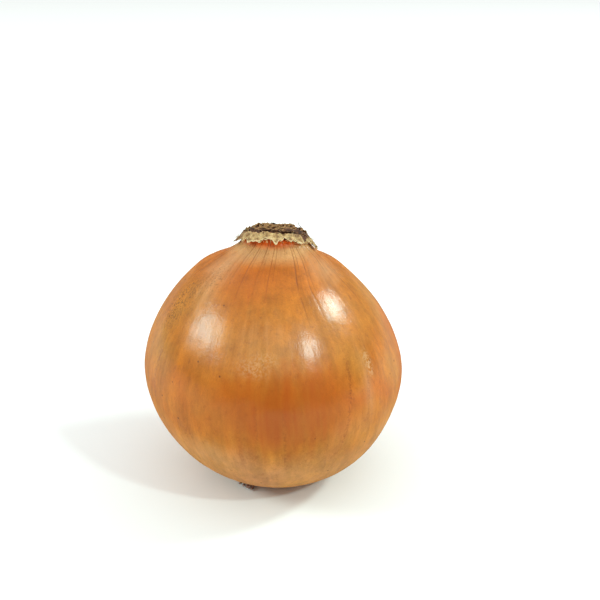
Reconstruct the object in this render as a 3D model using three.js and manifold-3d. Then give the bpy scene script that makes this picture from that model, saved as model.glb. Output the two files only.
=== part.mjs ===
// A large brown onion, as sold loose. Its dry skin is drawn up into a flattened neck that was cut
// when it was harvested. A torn papery collar stands round the withered leaf stubs in the cut, and
// the bulb stands on the mat of its trimmed roots.
//
// Millimetres. +Z runs up through the neck, z = 0 is the surface that the onion stands on, and the
// front faces -Y. An angle round the axis is 0 at the front and 90 degrees towards +X.
import * as THREE from "three";
import { mergeVertices } from "three/addons/utils/BufferGeometryUtils.js";
import Module from "manifold-3d";

const wasm = await Module();
wasm.setup();

const TURN = 2 * Math.PI;
const EXACT = 1e-4;

// The bulb: a round lower half, and an upper half that tapers into a shoulder and a neck.
const BULB_RADIUS = 42.5;
const WIDEST_Z = 35.7;
const SHOULDER_RADIUS = 15.6;
const SHOULDER_Z = 76.8;
const NECK_Z = 81.7;
const BASE_LIP_RADIUS = 12;
const BASE_LIP_Z = 1.5;
const BASE_DISH_RADIUS = 9.6;
const BASE_DISH_Z = 2.25;
const BULB_SECTORS = 96;

// The axis leans a little to the left, and the neck sits to the right of it.
const LEAN = -0.045;
const NECK_SHIFT = 2.5;
const BASE_X = -LEAN * WIDEST_Z;

// Seen from above the bulb is very slightly three-lobed. Its skin is faintly lumpy, and ribbed by
// veins that gather into shallow pleats at the neck.
const LOBE = 0.017;
const LOBE_ANGLE = 0.06;
const BULGE_FORWARD = 0.85;
const LUMP = 0.005;
const RIB_COUNT = 32;
const RIB_WANDER = 0.035;
const RIB_AT_BELLY = 0.07;
const PLEAT_AT_NECK = 0.3;

// The cut neck is an oval, wider from side to side than from front to back. Its face tips backwards
// and to the right, and arches down towards its two ends.
const NECK_HALF_WIDTH = 10.1;
const NECK_HALF_DEPTH = 7.1;
const NECK_FLATTENS_FROM = 70;
const NECK_FLAT_BY = 80;
const NECK_TILT = THREE.MathUtils.degToRad(6.4);
const NECK_ROLL = THREE.MathUtils.degToRad(3);
const NECK_ARCH = 0.7;

// Neighbouring pieces keep this gap.
const GAP = 0.32;

// The collar: a thin ring of torn skin, measured outwards from the neck's oval and up from its face.
const COLLAR_THICKNESS = 0.64;
const COLLAR_TOP = new THREE.Vector2(-0.5, 1.35);
const COLLAR_BEND = new THREE.Vector2(-0.05, 0.85);
const COLLAR_EDGE = new THREE.Vector2(1.15, -0.3);
const COLLAR_SECTORS = 120;
const COLLAR_TEAR = 0.6;
const COLLAR_TAIL = 2.6;
const COLLAR_DROOP = 0.6;

// The leaf stubs: a crumpled oval pad with rows of stiff torn flakes standing on it.
const STUB_HALF_WIDTH = 9.2;
const STUB_HALF_DEPTH = 6.1;
const STUB_PAD_Z = 1.4;
const STUB_EDGE_Z = 1;
const STUB_NARROW = 0.97;
const STUB_FOLDS = 3;
const STUB_FOLD_HEIGHT = 0.9;
const STUB_RINGS = 9;
const STUB_SECTORS = 42;
const FLAKE_THICKNESS = 0.62;
const FLAKE_ROWS = [
  { scale: 0.86, count: 15, height: 1.35, width: 2.5 },
  { scale: 0.52, count: 9, height: 1.7, width: 2.1 },
  { scale: 0.2, count: 3, height: 1.3, width: 1.7 },
];
const WISP_LENGTH = 3.4;
const WISP_RADIUS = 0.34;

// The root mat: a flat basal plate with the stubs of the trimmed roots pressed out round it.
const PLATE_RADIUS = 7.6;
const PLATE_Z = 1.9;
const PLATE_FLAT_RADIUS = 6.4;
const ROOT_RADIUS = 0.52;
const ROOT_COUNT = 28;
const ROOT_START = 4.6;
const ROOT_SHORT = 10.5;
const ROOT_LONG = 14.5;
const ROOT_RISE = 0.1;
const ROOT_KINK = 1.6;
const STRAY_ROOTS = [
  { angle: -0.47, reach: 18.6, rise: 1.15 },
  { angle: 1.25, reach: 17.2, rise: 0.95 },
  { angle: 2.6, reach: 18.2, rise: 1.05 },
];

// Random numbers from 0 to 1 that are the same on every run.
function seeded(seed) {
  let state = seed;
  return () => {
    state = (Math.imul(state, 1664525) + 1013904223) >>> 0;
    return state / 4294967296;
  };
}

// A smooth closed wave round the axis, from -1 to 1, made of whole-number frequencies.
function ripple(seed, frequencies) {
  const random = seeded(seed);
  const phases = frequencies.map(() => random() * TURN);
  return (angle) =>
    frequencies.reduce((sum, f, i) => sum + Math.sin(f * angle + phases[i]), 0) / frequencies.length;
}

const { smoothstep, lerp } = THREE.MathUtils;

// Moves each vertex of a closed geometry with a function, after merging what coincides.
function reshape(geometry, move) {
  geometry.deleteAttribute("normal");
  geometry.deleteAttribute("uv");
  const merged = mergeVertices(geometry, EXACT);
  const position = merged.getAttribute("position");
  const point = new THREE.Vector3();
  for (let i = 0; i < position.count; i += 1) {
    point.fromBufferAttribute(position, i);
    move(point);
    position.setXYZ(i, point.x, point.y, point.z);
  }
  return merged;
}

// A profile of [radius, height] points turned about the Z axis.
function turned(profile, sectors) {
  const points = profile.map(([radius, height]) => new THREE.Vector2(radius, height));
  return new THREE.LatheGeometry(points, sectors).rotateX(Math.PI / 2);
}

function toManifold(geometry) {
  const merged = reshape(geometry, () => {});
  return new wasm.Manifold(
    new wasm.Mesh({
      numProp: 3,
      vertProperties: new Float32Array(merged.getAttribute("position").array),
      triVerts: new Uint32Array(merged.index.array),
    }),
  );
}

function fromManifold(solid) {
  const { vertProperties, triVerts } = solid.getMesh();
  const geometry = new THREE.BufferGeometry();
  geometry.setAttribute("position", new THREE.BufferAttribute(vertProperties, 3));
  geometry.setIndex(new THREE.BufferAttribute(triVerts, 1));
  return geometry;
}

function fuse(geometries) {
  const solids = geometries.map(toManifold);
  return fromManifold(solids.reduce((whole, piece) => whole.add(piece)));
}

// A closed five-sided thread along a path.
function thread(extrudePath, radius, steps) {
  const circle = new THREE.Path().absarc(0, 0, radius, 0, TURN).getPoints(5).slice(0, 5);
  return new THREE.ExtrudeGeometry(new THREE.Shape(circle), { extrudePath, steps, bevelEnabled: false });
}

function named(name, geometry, color, roughness) {
  geometry.computeVertexNormals();
  const material = new THREE.MeshStandardMaterial({ color, roughness, metalness: 0 });
  const mesh = new THREE.Mesh(geometry, material);
  mesh.name = name;
  return mesh;
}

// The x of the onion's leaning axis at a height.
function axisX(z) {
  return LEAN * (z - WIDEST_Z) + NECK_SHIFT * smoothstep(z, NECK_FLATTENS_FROM, NECK_FLAT_BY);
}

// How far the neck's face has dropped at a distance sideways from its middle.
function arch(x) {
  return NECK_ARCH * (x / NECK_HALF_WIDTH) ** 2;
}

// The outline of half the bulb, from the middle of its base to the middle of its neck.
function bulbProfile() {
  const point = (radius, height) => new THREE.Vector2(radius, height);
  const widest = point(BULB_RADIUS, WIDEST_Z);
  const shoulder = point(SHOULDER_RADIUS, SHOULDER_Z);
  const flank = new THREE.CubicBezierCurve(
    point(BASE_LIP_RADIUS, BASE_LIP_Z),
    point(29.6, BASE_LIP_Z),
    point(BULB_RADIUS, 21),
    widest,
  );
  const crown = new THREE.CubicBezierCurve(
    widest,
    point(BULB_RADIUS, 50.3),
    point(30.6, 66.2),
    shoulder,
  );
  const neck = new THREE.CubicBezierCurve(
    shoulder,
    point(13.1, 78.5),
    point(10.5, 79.6),
    point(NECK_HALF_WIDTH, NECK_Z),
  );
  const curved = [
    ...flank.getSpacedPoints(12),
    ...crown.getSpacedPoints(12).slice(1),
    ...neck.getSpacedPoints(4).slice(1),
  ];
  return [
    [0, BASE_DISH_Z],
    [BASE_DISH_RADIUS, BASE_DISH_Z],
    ...curved.map((p) => [p.x, p.y]),
    [0, NECK_Z],
  ];
}

function makeBulb() {
  const lumps = ripple(11, [2, 5, 7]);
  const wander = ripple(23, [2, 3, 7]);
  const uneven = ripple(31, [5, 8, 13]);
  const flatness = 1 - NECK_HALF_DEPTH / NECK_HALF_WIDTH;
  const shape = (p) => {
    const radius = Math.hypot(p.x, p.y);
    const angle = Math.atan2(p.x, -p.y);
    const onFlank = smoothstep(radius, BASE_LIP_RADIUS, BULB_RADIUS);
    const onSkin = p.z > NECK_Z - EXACT || p.z < BASE_LIP_Z + EXACT ? 0 : 1;
    const pleat = smoothstep(p.z, WIDEST_Z, SHOULDER_Z);
    const height = lerp(RIB_AT_BELLY * onFlank, PLEAT_AT_NECK, pleat * pleat);
    const vein = RIB_COUNT * (angle + RIB_WANDER * wander(angle));
    const rib = Math.sin(vein) * (0.75 + 0.5 * uneven(angle));
    const swell = LOBE * Math.cos(3 * (angle - LOBE_ANGLE)) + LUMP * lumps(angle);
    const full = radius * (1 + swell * onFlank) + height * rib * onSkin;
    const inNeck = smoothstep(p.z, NECK_FLATTENS_FROM, NECK_FLAT_BY);
    const x = full * Math.sin(angle);
    const y = -full * Math.cos(angle) * (1 - flatness * inNeck);
    const tip = y * Math.tan(NECK_TILT) + x * Math.tan(NECK_ROLL) + arch(x);
    p.set(axisX(p.z) + x, y, p.z - tip * inNeck);
  };
  return reshape(turned(bulbProfile(), BULB_SECTORS), shape);
}

// A point a distance outwards from an oval round the neck's axis, and a height above the neck's face.
function besideNeck(angle, outwards, above, halfWidth = NECK_HALF_WIDTH, halfDepth = NECK_HALF_DEPTH) {
  const [sin, cos] = [Math.sin(angle), Math.cos(angle)];
  const normal = new THREE.Vector3(halfDepth * sin, -halfWidth * cos, 0).normalize();
  const spot = new THREE.Vector3(halfWidth * sin, -halfDepth * cos, above);
  spot.addScaledVector(normal, outwards);
  spot.z -= arch(spot.x);
  return spot;
}

// How far the collar's torn edge reaches past its plain one, in units of COLLAR_TEAR.
function makeTear() {
  const slow = ripple(5, [3, 5, 8]);
  const quick = ripple(19, [17, 23, 31]);
  const teeth = [-1.25, -0.12, 0.05, 0.7, 1.9, 2.8, 3.9, 4.5];
  return (angle) => {
    const tooth = teeth.reduce((most, t) => {
      const away = Math.abs(Math.atan2(Math.sin(angle - t), Math.cos(angle - t)));
      return Math.max(most, 1.5 * (1 - away / 0.11));
    }, 0);
    return 0.55 * slow(angle) + 0.7 * quick(angle) + tooth;
  };
}

function makeCollar() {
  const tear = makeTear();
  const lift = ripple(41, [4, 7, 11]);
  const crest = ripple(47, [9, 14, 22]);
  const along = COLLAR_EDGE.clone().sub(COLLAR_BEND).normalize();
  const across = new THREE.Vector2(-along.y, along.x).multiplyScalar(COLLAR_THICKNESS);
  const line = [COLLAR_TOP, COLLAR_BEND, COLLAR_BEND.clone().lerp(COLLAR_EDGE, 0.5), COLLAR_EDGE];
  // The radius in this plain ring only carries which point of the section a vertex is.
  const section = [...line.map((p, i) => [p, i, 0]), ...line.map((p, i) => [p, i, 1]).reverse()];
  const ring = section.map(([, row, side]) => [30 + row * 2 + side, 10 - row * 2 + side]);
  const shape = (p) => {
    const angle = Math.atan2(p.x, -p.y);
    const key = Math.round(Math.hypot(p.x, p.y)) - 30;
    const [row, side] = [Math.floor(key / 2), key % 2];
    const flare = row / (line.length - 1);
    const tail = COLLAR_TAIL * Math.exp(-(((angle - 1.42) / 0.16) ** 2));
    const spot = line[row].clone().addScaledVector(across, side);
    spot.addScaledVector(along, flare * flare * (COLLAR_TEAR * tear(angle) + tail));
    spot.y += flare * (0.2 * lift(angle) - COLLAR_DROOP * Math.sin(angle) ** 4);
    spot.x += flare * 0.4 * Math.sin(angle) ** 4;
    if (row === 0) spot.y += 0.3 * crest(angle);
    p.copy(besideNeck(angle, spot.x, spot.y));
  };
  return reshape(turned([...ring, ring[0]], COLLAR_SECTORS), shape);
}

// One stiff torn flake of dried leaf, with a jagged top, standing at the origin across the Y axis.
function flake(width, height, random) {
  const [half, points] = [width / 2, 4];
  const outline = [new THREE.Vector2(-half, -0.9), new THREE.Vector2(half, -0.9)];
  for (let i = 0; i <= points; i += 1) {
    const edge = i === 0 || i === points ? 0.45 : 1;
    const top = height * edge * (0.55 + 0.45 * random());
    outline.push(new THREE.Vector2(half * (1 - (2 * i) / points) * 0.9, top));
  }
  return new THREE.ExtrudeGeometry(new THREE.Shape(outline), {
    depth: FLAKE_THICKNESS,
    bevelEnabled: false,
  })
    .translate(0, 0, -FLAKE_THICKNESS / 2)
    .rotateX(Math.PI / 2);
}

function makeStubPad() {
  const fold = ripple(61, [3, 4, 7]);
  const crumple = ripple(67, [9, 13, 17]);
  const rings = [...Array(STUB_RINGS).keys()].map((i) => 1 - i / STUB_RINGS);
  const section = [
    [0, GAP],
    [STUB_NARROW, GAP],
    [1, STUB_EDGE_Z],
    ...rings.map((r) => [r * STUB_NARROW, STUB_PAD_Z]),
    [0, STUB_PAD_Z],
  ];
  const shape = (p) => {
    const out = Math.hypot(p.x, p.y);
    const angle = Math.atan2(p.x, -p.y);
    const onTop = p.z > STUB_PAD_Z - EXACT;
    const phase = out * STUB_FOLDS + 0.22 * fold(angle);
    const ridge = 1 - Math.abs(2 * (phase - Math.floor(phase)) - 1);
    const middle = smoothstep(out, 0, 0.2);
    const rise = onTop ? STUB_FOLD_HEIGHT * (ridge + 0.35 * crumple(angle + out) * out) * middle : 0;
    const x = STUB_HALF_WIDTH * out * Math.sin(angle);
    const y = -STUB_HALF_DEPTH * out * Math.cos(angle);
    p.set(x, y, p.z + rise - arch(x));
  };
  return reshape(turned(section, STUB_SECTORS), shape);
}

// A thin dry thread of leaf that curls up from the back right of the stub.
function makeWisp() {
  const root = besideNeck(2.2, -1.2, 0.7, STUB_HALF_WIDTH, STUB_HALF_DEPTH);
  const path = new THREE.CatmullRomCurve3([
    root,
    root.clone().add(new THREE.Vector3(-0.2, 0, WISP_LENGTH * 0.45)),
    root.clone().add(new THREE.Vector3(-1.1, -0.1, WISP_LENGTH)),
  ]);
  return thread(path, WISP_RADIUS, 5);
}

function makeLeafStub() {
  const random = seeded(83);
  const pieces = [makeStubPad(), makeWisp()];
  for (const row of FLAKE_ROWS) {
    const [halfWidth, halfDepth] = [STUB_HALF_WIDTH * row.scale, STUB_HALF_DEPTH * row.scale];
    for (let i = 0; i < row.count; i += 1) {
      const angle = ((i + 0.35 * random()) / row.count) * TURN;
      const place = besideNeck(angle, 0, STUB_PAD_Z, halfWidth, halfDepth);
      const facing = Math.atan2(-halfDepth * Math.sin(angle), halfWidth * Math.cos(angle));
      const width = row.width * (0.8 + 0.35 * random());
      const height = row.height * (0.75 + 0.5 * random());
      const piece = flake(width, height, random);
      piece.rotateX(0.5 * (random() - 0.5)).rotateZ(-facing + 0.5 * (random() - 0.5));
      pieces.push(piece.translate(place.x, place.y, place.z));
    }
  }
  return fuse(pieces);
}

// One trimmed root, from inside the plate out to its reach, with a kink sideways and a rise.
function rootTube(angle, reach, rise, kink) {
  const out = new THREE.Vector3(Math.sin(angle), -Math.cos(angle), 0);
  const side = new THREE.Vector3(-out.y, out.x, 0);
  const low = ROOT_RADIUS + 0.12;
  const spot = (distance, aside, height) =>
    new THREE.Vector3(BASE_X, 0, height).addScaledVector(out, distance).addScaledVector(side, aside);
  const path = new THREE.CatmullRomCurve3([
    spot(ROOT_START, 0, low + 0.3),
    spot(lerp(ROOT_START, reach, 0.4), kink * 0.2, low + 0.05),
    spot(lerp(ROOT_START, reach, 0.75), kink, low),
    spot(reach, kink * 0.4, low + rise),
  ]);
  return thread(path, ROOT_RADIUS, 4);
}

function makeRootMat() {
  const random = seeded(101);
  const rim = ripple(71, [5, 9, 14]);
  const section = [
    [0, 0],
    [PLATE_FLAT_RADIUS, 0],
    [PLATE_RADIUS, 0.6],
    [PLATE_RADIUS * 0.97, 1.25],
    [PLATE_RADIUS * 0.8, PLATE_Z],
    [0, PLATE_Z],
  ];
  const shape = (p) => {
    const radius = Math.hypot(p.x, p.y);
    const angle = Math.atan2(p.x, -p.y);
    const full = radius * (1 + 0.05 * rim(angle));
    p.set(BASE_X + full * Math.sin(angle), -full * Math.cos(angle), p.z);
  };
  const pieces = [reshape(turned(section, 40), shape)];
  for (let i = 0; i < ROOT_COUNT; i += 1) {
    const angle = ((i + 0.5 * random()) / ROOT_COUNT) * TURN;
    const reach = lerp(ROOT_SHORT, ROOT_LONG, random());
    const rise = ROOT_RISE * random();
    pieces.push(rootTube(angle, reach, rise, ROOT_KINK * (random() - 0.5)));
  }
  for (const stray of STRAY_ROOTS) {
    pieces.push(rootTube(stray.angle, stray.reach, stray.rise, ROOT_KINK * (random() - 0.5)));
  }
  return fuse(pieces);
}

// What stands on the neck's face is modelled flat and tips with the face.
const neck = new THREE.Group();
neck.position.set(axisX(NECK_Z), 0, NECK_Z);
neck.rotation.set(-NECK_TILT, NECK_ROLL, 0);
neck.add(
  named("neck_collar", makeCollar(), 0xd8bf88, 0.8),
  named("leaf_stub", makeLeafStub(), 0x5c4632, 0.9),
);

// One lobe bulges forwards, so the whole onion stands back by that to keep its middle on the origin.
const onion = new THREE.Group();
onion.position.y = BULGE_FORWARD;
onion.add(
  named("bulb", makeBulb(), 0xc98548, 0.32),
  neck,
  named("root_mat", makeRootMat(), 0x8c6b49, 0.9),
);

export default onion;
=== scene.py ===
"""A large loose brown onion, standing on its root mat on a plain pale floor.

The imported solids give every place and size. Around them this script builds the dry skin with its
veins, the torn papery collar, the withered leaf stubs in the cut neck and the trimmed roots, and
gives each its finish. Lengths are in millimetres until they become mesh points, which are in metres.
"""
from __future__ import annotations

import logging
import math
from collections.abc import Callable
from dataclasses import dataclass
from enum import Enum
from functools import partial

import bpy
import numpy as np
from bpy.types import Material, Node, NodeSocket, NodeTree, Object
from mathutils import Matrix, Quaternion, Vector

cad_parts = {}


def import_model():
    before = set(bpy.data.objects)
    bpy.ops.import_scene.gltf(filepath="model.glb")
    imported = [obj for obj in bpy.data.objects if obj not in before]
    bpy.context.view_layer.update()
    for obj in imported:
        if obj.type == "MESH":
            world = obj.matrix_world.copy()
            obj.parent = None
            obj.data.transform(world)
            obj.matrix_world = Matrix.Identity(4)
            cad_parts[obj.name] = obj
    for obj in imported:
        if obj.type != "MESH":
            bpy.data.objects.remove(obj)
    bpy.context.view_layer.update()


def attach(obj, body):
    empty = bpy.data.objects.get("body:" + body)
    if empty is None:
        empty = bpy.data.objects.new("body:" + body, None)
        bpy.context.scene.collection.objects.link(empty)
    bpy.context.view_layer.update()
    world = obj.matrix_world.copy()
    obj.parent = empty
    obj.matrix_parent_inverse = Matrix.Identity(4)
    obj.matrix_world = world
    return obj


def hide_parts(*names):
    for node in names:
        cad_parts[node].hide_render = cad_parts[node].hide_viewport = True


LOG = logging.getLogger("onion")
BODY = "root"
MM = 0.001
TURN = 2 * math.pi
Array = np.ndarray
AddNode = Callable[..., Node]
Faces = list[tuple[int, ...]]

# The nodes that are used most, and where a node's main output isn't its first one.
MATH, VECTOR_MATH, MAP_RANGE = "ShaderNodeMath", "ShaderNodeVectorMath", "ShaderNodeMapRange"
MIX, NOISE, BUMP, ATTRIBUTE = "ShaderNodeMix", "ShaderNodeTexNoise", "ShaderNodeBump", "ShaderNodeAttribute"
SEPARATE, COMBINE = "ShaderNodeSeparateXYZ", "ShaderNodeCombineXYZ"
SHADER, OUTPUT = "ShaderNodeBsdfPrincipled", "ShaderNodeOutputMaterial"
MAIN_OUTPUT = {MIX: 2, ATTRIBUTE: 2}


class Side(Enum):
    """Which way a softbox stands from the onion, seen from the camera."""

    LEFT = "left"
    RIGHT = "right"
    FRONT_RIGHT = "front_right"


def linear(code: str) -> tuple[float, float, float, float]:
    """Turns an sRGB hex colour into a linear one.

    Args:
        code: The colour as "#RRGGBB".

    Returns:
        Linear red, green and blue, and an alpha of 1.
    """
    channels = [int(code[i : i + 2], 16) / 255 for i in (1, 3, 5)]
    straight = [c / 12.92 if c <= 0.04045 else ((c + 0.055) / 1.055) ** 2.4 for c in channels]
    return (*straight, 1.0)


def add_node(
    tree: NodeTree, kind: str, inputs: dict[str | int, object] | None = None, **settings: object
) -> Node:
    """Adds a node, sets its properties, and fills or links its inputs.

    Args:
        tree: The node tree that gets the node.
        kind: The node's type name in Blender.
        inputs: By input name or number, a value, an output socket, or a node whose main output is meant.
        settings: The node's properties by name.

    Returns:
        The new node.
    """
    node = tree.nodes.new(kind)
    for name, value in settings.items():
        setattr(node, name, value)
    for key, value in (inputs or {}).items():
        if isinstance(value, Node):
            value = value.outputs[MAIN_OUTPUT.get(value.bl_idname, 0)]
        if isinstance(value, NodeSocket):
            tree.links.new(value, node.inputs[key])
        else:
            node.inputs[key].default_value = value
    return node


def new_material(name: str) -> tuple[Material, AddNode]:
    """Makes an empty node material.

    Args:
        name: The material's name.

    Returns:
        The material, and a function that adds a node to its tree.
    """
    material = bpy.data.materials.new(name)
    material.use_nodes = True
    material.node_tree.nodes.clear()
    return material, partial(add_node, material.node_tree)


def link(name: str, data: bpy.types.ID) -> Object:
    """Makes an object and links it to the scene.

    Args:
        name: The object's name.
        data: Its mesh, light or camera.

    Returns:
        The new object.
    """
    piece = bpy.data.objects.new(name, data)
    bpy.context.scene.collection.objects.link(piece)
    return piece


def ease(x: Array | float, low: float, high: float) -> Array:
    """Rises smoothly from 0 at low to 1 at high."""
    t = np.clip((x - low) / (high - low), 0, 1)
    return t * t * (3 - 2 * t)


def hump(x: Array, middle: float, width: float) -> Array:
    """Stands at 1 at the middle and fades away on both sides."""
    return np.exp(-(((x - middle) / width) ** 2))


def around(count: int) -> Array:
    """Spaces angles evenly round a turn."""
    return np.arange(count) / count * TURN


def apart(angle: Array, middle: Array | float) -> Array:
    """Measures how far angles are from a middle one, up to half a turn each way."""
    return (angle - middle + math.pi) % TURN - math.pi


def heading(angle: Array, rise: Array) -> Array:
    """Makes directions away from the axis, at angles that start at the front, each with a rise."""
    return np.stack([np.sin(angle), -np.cos(angle), rise], 1)


def ripple(seed: int, frequencies: tuple[int, ...]) -> Callable[[Array], Array]:
    """Makes a smooth closed wave round an axis, from -1 to 1.

    Args:
        seed: Starts the draw of the phases, in the way that the solids draw theirs.
        frequencies: Whole numbers of waves in a turn.

    Returns:
        The wave as a function of the angle.
    """
    state = seed
    phases = []
    for _ in frequencies:
        state = (state * 1664525 + 1013904223) & 0xFFFFFFFF
        phases.append(state / 4294967296 * TURN)

    def wave(angle: Array) -> Array:
        """Gives the wave's height at an angle."""
        return sum(np.sin(f * angle + p) for f, p in zip(frequencies, phases)) / len(frequencies)

    return wave


def swells(points: Array, wavelength: float, seed: int) -> Array:
    """Makes a smooth random field out of plane waves.

    Args:
        points: Places, as an array whose last axis is x, y, z.
        wavelength: The usual length of a wave, in the unit of the places.
        seed: Starts the random draw.

    Returns:
        The field at each place, mostly between -1 and 1.
    """
    count = 18
    draw = np.random.default_rng(seed)
    directions = draw.normal(size=(count, 3))
    directions /= np.linalg.norm(directions, axis=1)[:, None]
    lengths = wavelength * draw.uniform(0.7, 1.5, count)
    phases = draw.uniform(0, TURN, count)
    total = sum(np.sin(points @ d * (TURN / n) + p) for d, n, p in zip(directions, lengths, phases))
    return total / math.sqrt(2 * count)


def spikes(angle: Array, count: int, width: float, seed: int) -> Array:
    """Makes pointed teeth at random places round a turn.

    Args:
        angle: The angles to measure at.
        count: How many teeth there are.
        width: Half the width of a tooth at its foot, in radians.
        seed: Starts the random draw.

    Returns:
        The height of the teeth at each angle, from 0 to 1.
    """
    draw = np.random.default_rng(seed)
    places, heights, widths = (draw.uniform(*span, count) for span in ((0, TURN), (0.35, 1), (0.5, 1.5)))
    total = np.zeros_like(angle)
    for place, height, wide in zip(places, heights, widths):
        away = np.abs(apart(angle, place))
        total = np.maximum(total, height * np.clip(1 - away / (width * wide), 0, 1))
    return total


def mesh_object(
    name: str,
    points: Array,
    faces: Faces,
    material: Material,
    corners: Array | None = None,
    marks: dict[str, Array] | None = None,
) -> Object:
    """Makes a smooth-shaded mesh object at the origin.

    Args:
        name: The object's name.
        points: The vertices in millimetres, one a row.
        faces: Vertex numbers of each face, counter-clockwise from outside.
        material: The finish of the whole mesh.
        corners: A UV pair for each face corner, in the order of the faces.
        marks: Attributes with one number a vertex, by name.

    Returns:
        The new object, linked to the scene.
    """
    mesh = bpy.data.meshes.new(name)
    mesh.from_pydata((points * MM).tolist(), [], faces)
    mesh.shade_smooth()
    if corners is not None:
        mesh.uv_layers.new(name="surface").data.foreach_set("uv", corners.astype(np.float32).ravel())
    for mark, values in (marks or {}).items():
        mesh.attributes.new(mark, "FLOAT", "POINT").data.foreach_set("value", values.astype(np.float32))
    mesh.materials.append(material)
    return link(name, mesh)


def ring_faces(rows: int, columns: int, start: int = 0, inwards: bool = False) -> Faces:
    """Joins rows of vertices that run counter-clockwise round an axis, bottom row first.

    Args:
        rows: How many rows there are.
        columns: How many vertices each row has.
        start: The number of the first vertex.
        inwards: Turns the faces towards the axis.

    Returns:
        The quads between neighbouring rows.
    """
    faces = []
    for i in range(rows - 1):
        low, high = start + i * columns, start + (i + 1) * columns
        for j in range(columns):
            k = (j + 1) % columns
            quad = (low + j, low + k, high + k, high + j)
            faces.append(quad[::-1] if inwards else quad)
    return faces


def fanned(grid: Array, low: Array, high: Array) -> tuple[Array, Faces]:
    """Closes a stack of rings with a fan of triangles at each end.

    Args:
        grid: The rings (rows up, columns round, x y z).
        low: The middle point of the lower fan.
        high: The middle point of the upper fan.

    Returns:
        The points, one a row, and the faces: the quads, then the two triangles of each column.
    """
    rows, columns = grid.shape[:2]
    faces = ring_faces(rows, columns)
    middle = rows * columns
    last = middle - columns
    for j in range(columns):
        k = (j + 1) % columns
        faces += [(middle, k, j), (middle + 1, last + j, last + k)]
    return np.concatenate([grid.reshape(-1, 3), low.reshape(1, 3), high.reshape(1, 3)]), faces


def tube_object(name: str, grid: Array, material: Material, rim: Array) -> Object:
    """Makes a tube out of rings, with a flat face at each end.

    Args:
        name: The object's name.
        grid: The rings (rows along, columns round, x y z).
        material: The finish.
        rim: The mark "rim" of each point.

    Returns:
        The new object.
    """
    rows, sides = grid.shape[:2]
    last = (rows - 1) * sides
    ends = [tuple(reversed(range(sides))), tuple(range(last, last + sides))]
    faces = ring_faces(rows, sides) + ends
    return mesh_object(name, grid.reshape(-1, 3), faces, material, marks={"rim": rim})


def sheet_object(name: str, sheets: list[tuple[Array, float, Array, Array]], material: Material) -> Object:
    """Joins thin closed rings of sheet into one object.

    Args:
        name: The object's name.
        sheets: For each ring its points (rows up, columns round, x y z), its thickness, and the
            marks "rim" and "shade" of each point.
        material: The finish.

    Returns:
        The new object.
    """
    points, faces, rims, shades = [], [], [], []
    start = 0
    for front, thickness, rim, shade in sheets:
        rows, columns = front.shape[:2]
        along = np.roll(front, -1, 1) - np.roll(front, 1, 1)
        normal = np.cross(along, np.gradient(front, axis=0))
        normal /= np.linalg.norm(normal, axis=2)[..., None] + 1e-9
        back = front - normal * thickness
        count = rows * columns
        points += [front.reshape(-1, 3), back.reshape(-1, 3)]
        rims += [rim.ravel()] * 2
        shades += [shade.ravel()] * 2
        faces += ring_faces(rows, columns, start)
        faces += ring_faces(rows, columns, start + count, inwards=True)
        top = start + (rows - 1) * columns
        for j in range(columns):
            k = (j + 1) % columns
            faces.append((start + k, start + j, start + count + j, start + count + k))
            faces.append((top + j, top + k, top + count + k, top + count + j))
        start += 2 * count
    marks = {"rim": np.concatenate(rims), "shade": np.concatenate(shades)}
    return mesh_object(name, np.concatenate(points), faces, material, marks=marks)


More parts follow.
